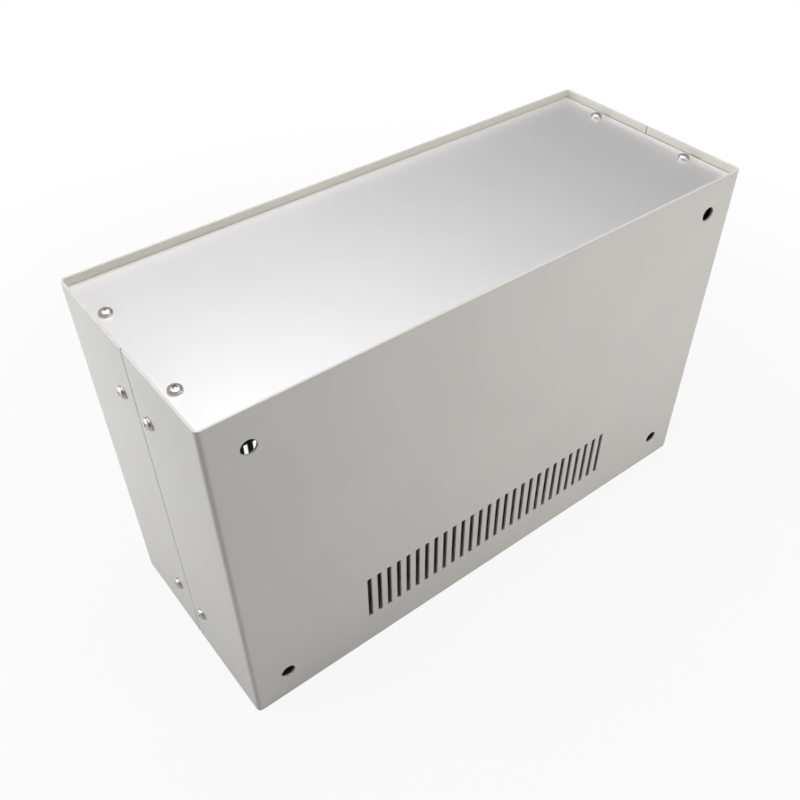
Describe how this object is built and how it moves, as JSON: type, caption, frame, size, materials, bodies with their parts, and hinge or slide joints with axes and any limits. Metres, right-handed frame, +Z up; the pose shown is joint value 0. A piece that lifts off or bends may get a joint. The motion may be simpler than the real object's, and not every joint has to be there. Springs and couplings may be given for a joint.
{
  "type": "instrument case",
  "caption": "Empty sheet-metal instrument case: two U-folded painted shells with vent slots, recessed aluminium end panels, inner side brackets and pan-head screws.",
  "frame": {"origin": "middle of the footprint, on the surface that the case stands on", "axes": "+Z up, from the rear panel end to the front panel end; X along the long side; Y across the case, with the base shell and its foot holes towards -Y"},
  "size_m": [0.3044, 0.118, 0.1905],
  "materials": {
    "shell_paint": "smooth satin light grey-beige paint",
    "panel_aluminium": "satin, silver",
    "bracket_zinc": "zinc plated",
    "screw_nickel": "nickel plated"
  },
  "bodies": {
    "root": {"base_shell": "shell_paint", "cover_shell": "shell_paint", "front_panel": "panel_aluminium", "rear_panel": "panel_aluminium", "left_side_bracket": "bracket_zinc", "right_side_bracket": "bracket_zinc", "front_panel_screw_1": "screw_nickel", "front_panel_screw_2": "screw_nickel", "front_panel_screw_3": "screw_nickel", "front_panel_screw_4": "screw_nickel", "rear_panel_screw_1": "screw_nickel", "rear_panel_screw_2": "screw_nickel", "rear_panel_screw_3": "screw_nickel", "rear_panel_screw_4": "screw_nickel", "left_side_screw_1": "screw_nickel", "left_side_screw_2": "screw_nickel", "left_side_screw_3": "screw_nickel", "left_side_screw_4": "screw_nickel", "right_side_screw_1": "screw_nickel", "right_side_screw_2": "screw_nickel", "right_side_screw_3": "screw_nickel", "right_side_screw_4": "screw_nickel"}
  },
  "joints": []
}
